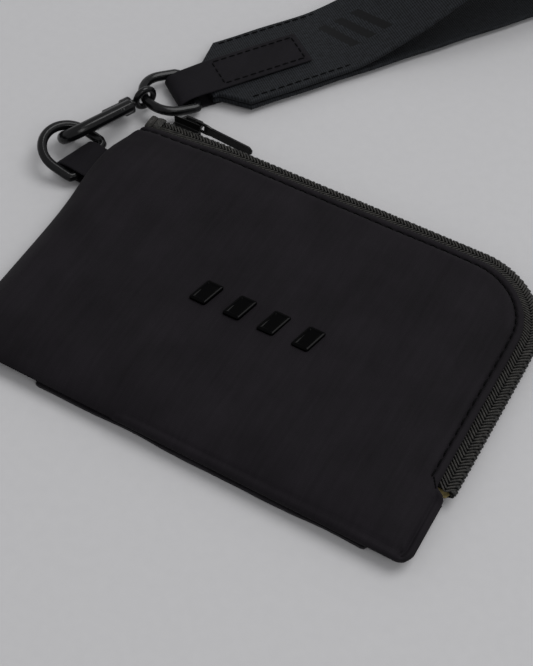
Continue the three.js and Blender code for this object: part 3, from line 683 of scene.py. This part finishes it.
def make_rear_pocket():
    """Slip pocket under the back panel, hemmed along its mouth and folded at the bottom."""
    columns = np.linspace(0, 1, 120)
    rows = np.concatenate([[0, 0.002, 0.005, 0.01, 0.018, 0.028], np.linspace(0.04, 0.93, 40),
                           [0.945, 0.957, 0.964, 0.971, 0.98, 0.988, 0.994, 0.998, 1]])
    share, up = np.meshgrid(columns, rows)
    depth = POCKET_HIGH[1] - BOTTOM
    x = POCKET_LOW[0] + (POCKET_HIGH[0] - POCKET_LOW[0]) * share
    wavy = 0.25 * np.sin(x / 9.0) + 0.15 * np.sin(x / 3.7 + 1)
    y = BOTTOM + 0.45 - wavy * (1 - up) ** 8 + (depth - 0.45) * up
    cut = np.minimum(x - POCKET_LOW[0], POCKET_HIGH[0] - x)
    y = y + np.where(up < 0.5, roll(cut, 1.5), -roll(cut, 0.6))
    edge = np.minimum(np.minimum(cut, (y - BOTTOM - 0.3)), POCKET_HIGH[1] - y)
    drawn = 0.12 * np.exp(-((POCKET_HIGH[1] - y - 2.3) / 0.4) ** 2)
    lift = 0.55 * (1 - smooth(y - BOTTOM, 0.3, 3.3))
    grid = np.stack([x, y], axis=-1)
    high = POCKET_HIGH[2] + lift - roll(np.clip(edge, 0, 9), 0.28) + 0.1 * lift
    low = POCKET_LOW[2] + lift * 0.7 + roll(np.clip(edge, 0, 9), 0.28) + drawn
    points, faces = closed_sheet(stack(grid, high), stack(grid, np.minimum(low, high - 0.01)))
    piece = make_piece("rear_pocket_cloth", points, faces, POCKET_CLOTH_PAINTED_LIGHT, "nylon_fabric")
    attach(piece, ROOT)
    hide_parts("rear_pocket")


# ---- stitches ----
def stitch_row(place, start, end, pitch=STITCH_PITCH, radius=0.17, sink=0.16):
    """Thread beads along place(length), each one rising over the cloth and diving at both ends."""
    beads = []
    count = max(1, round((end - start) / pitch))
    for k in range(count):
        first = start + (end - start) * k / count
        span = (end - start) / count
        line = []
        for share, lift in ((0.1, -sink), (0.26, 0.5 * sink), (0.5, 0.75 * sink),
                            (0.74, 0.5 * sink), (0.9, -sink)):
            point = np.array(place(first + span * share), float)
            line.append(point + np.array([0, 0, lift]))
        beads.append(bead(line, radius, 6, 0.6))
    return beads


def panel_stitch_place(s):
    """Middle of the stitch line of the front panel, on the drawn-in cloth."""
    edge, out = panel_edge(s, FOLD_INSET)
    flat = edge - out * STITCH_INSET
    grid = flat[None, None, :]
    relief = stitched(np.array([[STITCH_INSET]]), np.array([[s]]))
    height = front_height(grid) + relief
    return np.array([flat[0], flat[1], height[0, 0] + 0.12])


def make_panel_stitches():
    split = SPLIT_X - START_X
    phase = round(split / STITCH_PITCH) * STITCH_PITCH
    first = LEFT + 2.0 - START_X
    rows = {"left": stitch_row(panel_stitch_place, first, phase),
            "right": stitch_row(panel_stitch_place, phase, ZIP_LENGTH - 0.4)}
    rows["right"] += stitch_row(bartack_place, 0, 5.2, 1.3, 0.16)
    for side, beads in rows.items():
        piece = make_piece(f"front_stitches_{side}", *gather(beads), THREAD_WITH_PAINTED_SHADE, "nylon_fabric")
        open_with_mouth(piece, side)
    # the same row on the back panel, and one along the pocket's hem, both facing down
    under = []
    for x in np.arange(LEFT + 3, CORNER_X, STITCH_PITCH):
        y = zip_at(x - START_X)[0][1] - FOLD_INSET - STITCH_INSET
        under.append(bead([(x + k, y, 1.12) for k in (0.3, 1.2, 2.2)], 0.17))
    for x in np.arange(POCKET_LOW[0] + 1.5, POCKET_HIGH[0] - 3, STITCH_PITCH):
        under.append(bead([(x + k, POCKET_HIGH[1] - 2.3, 0.17) for k in (0.3, 1.2, 2.2)], 0.15))
    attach(make_piece("back_stitches", *gather(under), THREAD_WITH_PAINTED_SHADE, "nylon_fabric"), ROOT)


def bartack_place(length):
    """Short row of close stitches that turns in from the end of the zip."""
    edge, out = panel_edge(ZIP_LENGTH - 0.2, FOLD_INSET)
    flat = edge - out * (STITCH_INSET - 0.9) + np.array([0.45, -0.62]) * (length - 1.6) * 0.7
    height = front_height(flat[None, None, :])[0, 0]
    seam = seam_distance(flat[None, None, :])[0, 0]
    return np.array([flat[0], flat[1], height - roll(max(seam, 0), SEAM_ROLL) + 0.02])


# ---- zip ----
# Front tape section as (inset, height over the middle of the chain), from the sewn edge outwards.
TAPE_SECTION = [(7.3, 1.3), (6.2, 1.3), (5.0, 1.3), (4.2, 1.3), (3.5, 1.3), (2.9, 1.29),
                (2.3, 1.26), (1.8, 1.2), (1.35, 1.1), (0.95, 0.94), (0.65, 0.72), (0.45, 0.48)]
TAPE_THICK = 0.42


def tape_height(inset, s):
    """Height over the middle of the chain. The two tapes lie closer together at the zip's start."""
    height = np.interp(inset, [i for i, _ in TAPE_SECTION[::-1]], [z for _, z in TAPE_SECTION[::-1]])
    return height * (1 - 0.35 * near_start(s))


def make_tape(name, s_from, s_to, facing):
    """Woven tape from under the panel's fold out over the coil. facing is 1 in front, -1 behind."""
    count = max(2, round((s_to - s_from) / 0.7))
    outer, inner = [], []
    for s in np.linspace(s_from, s_to, count + 1):
        ripple = 0.05 * math.sin(s * 1.9) + 0.04 * math.sin(s * 0.7 + 1)
        face = [(i, tape_height(i, s) + ripple) for i, _ in TAPE_SECTION]
        outer.append([beside_zip(s, i, CHAIN_Z + facing * z) for i, z in face])
        inner.append([beside_zip(s, i + (0.18 if i < 1 else 0), CHAIN_Z + facing * (z - TAPE_THICK))
                      for i, z in face])
    points, faces = closed_sheet(np.array(outer), np.array(inner))
    return make_piece(name, points, faces, TAPE_WITH_PAINTED_SHADE, "zip_tape")


def rib(s, facing, inset_from, inset_to, slant):
    """One raised thread of the tape's herringbone."""
    line = []
    for share in np.linspace(0, 1, 5):
        inset = inset_from + (inset_to - inset_from) * share
        height = tape_height(inset, s) + 0.09
        line.append(beside_zip(s + slant * (share - 0.5), inset, CHAIN_Z + facing * height))
    return bead(line, 0.24, 6, 0.55)


def rib_rows(s_from, s_to, facing):
    beads = []
    count = round((s_to - s_from) / RIB_PITCH)
    for k in range(count):
        s = s_from + (k + 0.5) * (s_to - s_from) / count
        beads.append(rib(s, facing, 4.5, 2.5, 1.9))
        beads.append(rib(s, facing, 2.45, 0.55, -1.9))
    return beads


def tooth(s, facing):
    """One turn of the nylon coil: out from the tape and round the edge past the middle."""
    line = []
    for inset, height, shift in ((1.7, 0.6, -0.2), (1.1, 0.62, -0.1), (0.62, 0.52, 0.0),
                                 (0.4, 0.28, 0.05), (0.42, -0.02, 0.1), (0.8, -0.2, 0.2)):
        level = CHAIN_Z + facing * height * (1 - 0.3 * near_start(s))
        line.append(beside_zip(s + shift, inset, level))
    return bead(line, 0.38, 8, 0.6)


def tooth_row(s_from, s_to, facing):
    first = 0.0 if facing > 0 else TEETH_PITCH / 2
    start = math.ceil((s_from - first) / TEETH_PITCH) * TEETH_PITCH + first
    return [tooth(s, facing) for s in np.arange(start, s_to, TEETH_PITCH)]


def make_zip():
    split = SPLIT_X - START_X
    spans = {"left": (0.0, split), "right": (split, ZIP_LENGTH)}
    chain_start = COIL_LOW[0] - START_X + 0.8
    for side, (s_from, s_to) in spans.items():
        tape = make_tape(f"tape_front_{side}", s_from, s_to, 1)
        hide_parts("zip_tape_front")
        ribs = gather(rib_rows(s_from, s_to, 1))
        ribs = make_piece(f"tape_ribs_front_{side}", *ribs, RIBS, "zip_tape")
        teeth = tooth_row(max(s_from, chain_start), s_to - 0.6 * (side == "right"), 1)
        teeth = make_piece(f"teeth_front_{side}", *gather(teeth), TEETH, "zip_coil")
        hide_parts("zip_coil_front")
        for piece in (tape, ribs, teeth):
            open_with_mouth(piece, side)
    tape = make_tape("tape_back", 0.0, ZIP_LENGTH, -1)
    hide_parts("zip_tape_back")
    ribs = make_piece("tape_ribs_back", *gather(rib_rows(0.0, ZIP_LENGTH, -1)), RIBS, "zip_tape")
    teeth = gather(tooth_row(chain_start, ZIP_LENGTH - 0.6, -1))
    teeth = make_piece("teeth_back", *teeth, TEETH, "zip_coil")
    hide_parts("zip_coil_back")
    for piece in (tape, ribs, teeth):
        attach(piece, ROOT)


def make_tape_ends():
    """The tapes' start ends, folded over outwards in front of the slider: two ribbed ridges."""
    beads = []
    edge = zip_at(0)[0][1]
    for x, reach in ((START_X - 0.6, 0.0), (START_X + 1.7, 0.5)):
        for k in range(5):
            shift = 0.34 * (k - 2)
            line = []
            for angle in np.linspace(0, math.pi, 7):
                line.append((x + shift + 0.25 * math.sin(angle), edge - 2.4 - 2.0 * math.cos(angle),
                             CHAIN_Z + 0.5 + (0.9 + reach - 0.12 * abs(k - 2)) * math.sin(angle)))
            beads.append(bead(line, 0.32, 6, 0.7))
    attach(make_piece("tape_ends", *gather(beads), RIBS, "zip_tape"), ROOT)


# ---- castings ----
BODIES = frame["record"]["behaviour"]["bodies"]
BODY_OF = {node: body for body, nodes in BODIES.items() for node in nodes}


def cast(node, material, voxel, rounds):
    """The CAD node's own shape as a casting: even fine mesh with small rounded edges and fillets."""
    mesh = frame["nodes"][node].data.copy()
    mesh.transform(Matrix.Scale(1 / MM, 4))
    rough = bpy.data.objects.new(f"{node}_cast", mesh)
    add(rough)
    remesh = rough.modifiers.new("remesh", "REMESH")
    remesh.mode = "VOXEL"
    remesh.voxel_size = voxel
    relax = rough.modifiers.new("relax", "SMOOTH")
    relax.factor = 0.5
    relax.iterations = rounds
    evaluated = rough.evaluated_get(bpy.context.evaluated_depsgraph_get())
    final = bpy.data.meshes.new_from_object(evaluated)
    rough.modifiers.clear()
    final.transform(Matrix.Scale(MM, 4))
    final.polygons.foreach_set("use_smooth", [True] * len(final.polygons))
    final.materials.clear()
    final.materials.append(material)
    rough.data = final
    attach(rough, BODY_OF[node])
    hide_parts(node)
    return rough


def make_castings():
    for node in ("pouch_ring", "strap_ring", "hook_body", "swivel_eye"):
        cast(node, METAL, 0.12, 30)
    for node in ("hook_gate", "gate_rivet"):
        cast(node, METAL, 0.08, 8)
    for node in ("slider_body", "slider_bridge", "pull_tab"):
        cast(node, SLIDER_METAL, 0.09, 8)
    for node, length in (("zip_start_stop_front", 1.0), ("zip_start_stop_back", 1.0),
                         ("zip_end_stop", ZIP_LENGTH - 0.6)):
        low, high = box_mm(node)
        levels = np.linspace(low[2] + 0.3, high[2] - 0.3, 6)
        crimp = bead([beside_zip(length, 0.95, z) for z in levels], 0.55, 12, 0.8)
        piece = make_piece(f"{node}_crimp", *gather([crimp]), TEETH, "zip_coil")
        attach(piece, ROOT)
        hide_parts(node)


# ---- tabs and strap ----
def along_line(line, step):
    """A smooth line through the points, with one point about every step."""
    line = np.asarray(line, float)
    for _ in range(3):
        middle = (line[1:] + line[:-1]) / 2
        cut = np.empty((2 * len(middle), line.shape[1]))
        cut[0::2] = 0.5 * line[:-1] + 0.5 * middle
        cut[1::2] = 0.5 * line[1:] + 0.5 * middle
        line = np.concatenate([line[:1], cut, line[-1:]])
    gone = np.concatenate([[0], np.cumsum(np.linalg.norm(np.diff(line, axis=0), axis=1))])
    at = np.linspace(0, gone[-1], max(2, round(gone[-1] / step)) + 1)
    return np.stack([np.interp(at, gone, line[:, k]) for k in range(line.shape[1])], axis=1), at


def ribbon(name, line, half_width, thick, place, material, slot, step, columns):
    """A strip of cloth along a line in its own X and Z, carried across by half_width(x, length)."""
    line, lengths = along_line(line, step)
    way = np.gradient(line, axis=0)
    way /= np.linalg.norm(way, axis=1)[:, None]
    normal = np.stack([-way[:, 1], way[:, 0]], axis=1)
    across = np.sin(np.linspace(-math.pi / 2, math.pi / 2, columns + 1))
    top, under, along = [], [], []
    total = lengths[-1]
    for (x, z), (nx, nz), length in zip(line, normal, lengths):
        half = half_width(x, length)
        end = thick * math.sqrt(1 - max(0.0, 1 - min(length, total - length) / thick) ** 2)
        upper, lower = [], []
        for v in across:
            edge = half * (1 - abs(v))
            part = min(end, thick * math.sqrt(1 - max(0.0, 1 - edge / (0.6 * thick)) ** 2)) / 2 + 0.002
            upper.append(place(x + nx * part, v * half, z + nz * part))
            lower.append(place(x - nx * part, v * half, z - nz * part))
            along.append((length, v * half))
        top.append(upper)
        under.append(lower)
    points, faces = closed_sheet(np.array(top), np.array(under))
    piece = make_piece(name, points, faces, material, slot, along + along)
    return piece, total


RING_BAR = np.array(JOINTS["pouch_ring_swing"]["pos_m"]) / MM
STRAP_BAR = np.array(JOINTS["strap_swing"]["pos_m"]) / MM
STRAP_ACROSS = np.array(JOINTS["strap_swing"]["axis"])
STRAP_ALONG = np.array([-STRAP_ACROSS[1], STRAP_ACROSS[0], 0])
TAB_THICK = 0.55


def make_side_tab():
    """Strip folded round the ring's bar, both ends sewn into the pouch's left seam."""
    low, high = box_mm("side_tab")
    half = (high[1] - low[1]) / 2
    tail, fold = LEFT + 1.0, low[0] + TAB_THICK / 2
    top, bar = high[2] - TAB_THICK / 2, RING_BAR[2]

    def place(x, y, z):
        lean = 0.3 * y * smooth(-x, -LEFT, -fold)
        return x + lean, RING_BAR[1] + y - 0.25 * (x - fold) / (tail - fold) * 5, z

    line = [(tail, CHAIN_Z + 0.5), (tail - 1.6, CHAIN_Z + 0.6), (tail - 3.4, top - 0.15),
            (RING_BAR[0] - 1, top), (fold + 1.2, top - 0.5), (fold, bar + 0.6), (fold, bar - 0.7),
            (fold + 1.2, 0.7), (RING_BAR[0] - 1, 0.45), (RING_BAR[0] + 2, 0.6),
            (tail - 1.4, CHAIN_Z - 0.9), (tail, CHAIN_Z - 0.5)]
    piece, length = ribbon("side_tab_cloth", line, lambda x, u: half - 0.1, TAB_THICK, place,
                           TAB_CLOTH, "nylon_fabric", 0.3, 26)
    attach(piece, ROOT)
    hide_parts("side_tab")


def strap_place(x, y, z):
    point = STRAP_BAR + STRAP_ALONG * x + STRAP_ACROSS * y
    return point[0], point[1], z


def strap_extent(node):
    """Lowest and highest place of a strap node along the strap, from its ring bar."""
    spots = np.array([v.co for v in frame["nodes"][node].data.vertices]) / MM - STRAP_BAR
    return (spots @ STRAP_ALONG).min(), (spots @ STRAP_ALONG).max()


TAB_FROM, TAB_TO = strap_extent("strap_tab")
WEB_FROM, WEB_TO = strap_extent("webbing_strap")
WEB_THICK = 1.5
WEB_HALF = 12.5
WEB_NECK = 6.2
LOWER_Z = box_mm("webbing_strap")[0][2] + WEB_THICK / 2
LOOP_RADIUS = (box_mm("webbing_strap")[1][2] - WEB_THICK / 2 - LOWER_Z) / 2
UPPER_Z = LOWER_Z + 1.8
LEG_SPLIT = 38.0
PATCH_TOP = box_mm("strap_tab")[1][2]
PATCH_HALF = 5.4


def webbing_line():
    """Out along the table, round the loop's end, back along the upper leg."""
    turn_x = WEB_TO - WEB_THICK / 2 - LOOP_RADIUS
    line = [(x, LOWER_Z) for x in np.linspace(WEB_FROM, turn_x, 60)]
    for angle in np.linspace(-math.pi / 2, math.pi / 2, 40)[1:]:
        line.append((turn_x + LOOP_RADIUS * math.cos(angle),
                     LOWER_Z + LOOP_RADIUS * (1 + math.sin(angle))))
    for x in np.linspace(turn_x, WEB_FROM, 60)[1:]:
        rise = smooth(x, LEG_SPLIT, turn_x)
        line.append((x, UPPER_Z + (LOWER_Z + 2 * LOOP_RADIUS - UPPER_Z) * rise))
    return line


def web_half(x, length):
    """Half width: cut in to a neck at the sewn ends, full from there."""
    neck = WEB_NECK + (WEB_HALF - WEB_NECK) * np.clip((x - WEB_FROM - 1.8) / 6.2, 0, 1)
    return float(neck) + 0.08 * math.sin(length / 3.1)


def make_strap():
    piece, length = ribbon("webbing", webbing_line(), web_half, WEB_THICK, strap_place, WEBBING,
                           "webbing", 0.8, 44)
    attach(piece, "strap")
    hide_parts("webbing_strap")
    half = PATCH_HALF
    fold = TAB_FROM + TAB_THICK / 2
    low = box_mm("strap_tab")[0][2] + TAB_THICK / 2
    bar, top = STRAP_BAR[2], PATCH_TOP - TAB_THICK / 2
    line = [(TAB_TO, low), (TAB_TO / 2, low), (0, low), (fold + 1.3, low + 0.2),
            (fold + 0.1, bar - 0.9), (fold, bar + 0.3), (fold + 0.8, bar + 1.5), (-1.0, top - 0.2),
            (3.0, top), (TAB_TO / 2, top + 0.06), (TAB_TO, top)]
    tab, length = ribbon("strap_tab_cloth", line, lambda x, u: half + 0.3 * smooth(x, 0, 8), TAB_THICK,
                         strap_place, TAB_CLOTH, "nylon_fabric", 0.4, 26)
    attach(tab, "strap")
    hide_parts("strap_tab")


def make_strap_stitches():
    """A box of stitches round the patch and a row down each edge of the joined legs."""
    near, far, side = 8.5, TAB_TO - 1.5, 4.3
    level = PATCH_TOP + 0.02
    beads = []
    for y in (-side, side):
        beads += stitch_row(lambda u, y=y: strap_place(u, y, level), near, far, 2.3, 0.2, 0.14)
    for x in (near, far):
        beads += stitch_row(lambda u, x=x: strap_place(x, u, level), -side, side, 2.1, 0.2, 0.14)
    leg = UPPER_Z + WEB_THICK / 2
    for y in (-WEB_HALF + 1.5, WEB_HALF - 1.5):
        beads += stitch_row(lambda u, y=y: strap_place(u, y, leg), 13, LEG_SPLIT + 4, 2.4, 0.22, 0.12)
    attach(make_piece("strap_stitches", *gather(beads), THREAD_WITH_PAINTED_SHADE, "webbing"), "strap")


# ---- badge ----
def make_badge_plate(node):
    """A slanted plate with round corners and a soft upper edge, let into the cloth a little."""
    low, high = box_mm(node)
    middle = (low + high) / 2
    half_high = (high[1] - low[1]) / 2 - 0.1
    slant = 0.75
    half_wide = (high[0] - low[0]) / 2 - slant
    corner, turns = 0.55, 5
    rings = []
    for shrink, z in ((0, TOP_Z - 0.5), (0, high[2] - 0.55), (0.08, high[2] - 0.4),
                      (0.25, high[2] - 0.3), (0.6, high[2] - 0.28), (0.75, high[2] - 0.42),
                      (1.1, high[2] - 0.42)):
        ring = []
        for quarter, (sx, sy) in enumerate(((1, 1), (-1, 1), (-1, -1), (1, -1))):
            for k in range(turns + 1):
                angle = (quarter + k / turns) * math.pi / 2
                reach = max(corner - shrink, 0.12)
                x = sx * (half_wide - shrink - reach) + reach * math.cos(angle)
                y = sy * (half_high - shrink - reach) + reach * math.sin(angle)
                ring.append((middle[0] + x + slant * y / half_high, middle[1] + y, z))
        rings.append(ring)
    count = len(rings[0])
    faces = [tuple(range(count))[::-1], tuple((len(rings) - 1) * count + k for k in range(count))]
    for r in range(len(rings) - 1):
        for k in range(count):
            a, b = r * count + k, r * count + (k + 1) % count
            faces.append((a, b, b + count, a + count))
    points = np.array(rings).reshape(-1, 3)
    piece = make_piece(f"{node}_gloss", points, faces, BADGE, "badge_gloss", sharp=40)
    open_with_mouth(piece, "right")
    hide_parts(node)


for half in ("left", "right"):
    make_front_panel(half)
    make_back_panel(half)
    make_lining(half, "front")
    make_lining(half, "back")
make_lining_corner()
make_rear_pocket()
make_panel_stitches()
make_zip()
make_tape_ends()
make_castings()
make_side_tab()
make_strap()
make_strap_stitches()
for plate in [node for node in frame["nodes"] if node.startswith("badge_plate")]:
    make_badge_plate(plate)

# ---- stage ----
AZIMUTH, ELEVATION = math.radians(29.70), math.radians(53.97)
CAMERA_DISTANCE = 0.306
CAMERA_TARGET = Vector((0.00184, -0.00237, 0.0))
LENS = 72.4
FLOOR_HALF = 2500.0


def aim(thing, way):
    """Turns a camera or lamp to look along a direction, and adds it."""
    thing.rotation_mode = "QUATERNION"
    thing.rotation_quaternion = way.to_track_quat("-Z", "Y")
    add(thing)


def make_camera():
    data = bpy.data.cameras.new("camera")
    data.lens = LENS
    data.sensor_width = 36
    data.clip_start, data.clip_end = 0.01, 20
    camera = bpy.data.objects.new("camera", data)
    back = Vector((math.sin(AZIMUTH) * math.cos(ELEVATION),
                   -math.cos(AZIMUTH) * math.cos(ELEVATION), math.sin(ELEVATION)))
    camera.location = CAMERA_TARGET + CAMERA_DISTANCE * back
    aim(camera, -back)
    bpy.context.scene.camera = camera


def make_light(name, place, size, power):
    data = bpy.data.lights.new(name, "AREA")
    data.shape = "DISK"
    data.size = size
    data.energy = power
    lamp = bpy.data.objects.new(name, data)
    lamp.location = place
    aim(lamp, -Vector(place))


def make_floor():
    shader = Shader("floor", (0.394, 0.393, 0.4), 0.9, Specular_IOR_Level=0.1)
    paper = shader.grain(shader.place((0.4, 0.4, 0.4)), detail=5)
    shader.color_range(paper, (0.389, 0.388, 0.395), (0.399, 0.398, 0.405))
    corners = [(-FLOOR_HALF, -FLOOR_HALF, 0), (FLOOR_HALF, -FLOOR_HALF, 0),
               (FLOOR_HALF, FLOOR_HALF, 0), (-FLOOR_HALF, FLOOR_HALF, 0)]
    mesh = bpy.data.meshes.new("floor")
    mesh.from_pydata([(x * MM, y * MM, z) for x, y, z in corners], [], [(0, 1, 2, 3)])
    mesh.materials.append(shader.material)
    floor = bpy.data.objects.new("floor", mesh)
    add(floor)


def light_the_scene():
    world = bpy.data.worlds.new("studio")
    world.use_nodes = True
    background = world.node_tree.nodes["Background"]
    background.inputs["Color"].default_value = (0.985, 0.985, 1.0, 1)
    background.inputs["Strength"].default_value = 0.61
    bpy.context.scene.world = world
    make_light("key", (0.6, 0.85, 1.9), size=1.5, power=28.0)
    make_light("fill", (0.8, -0.45, 0.9), size=0.5, power=2.6)
    bpy.context.scene.view_settings.view_transform = "Standard"


make_camera()
make_floor()
light_the_scene()
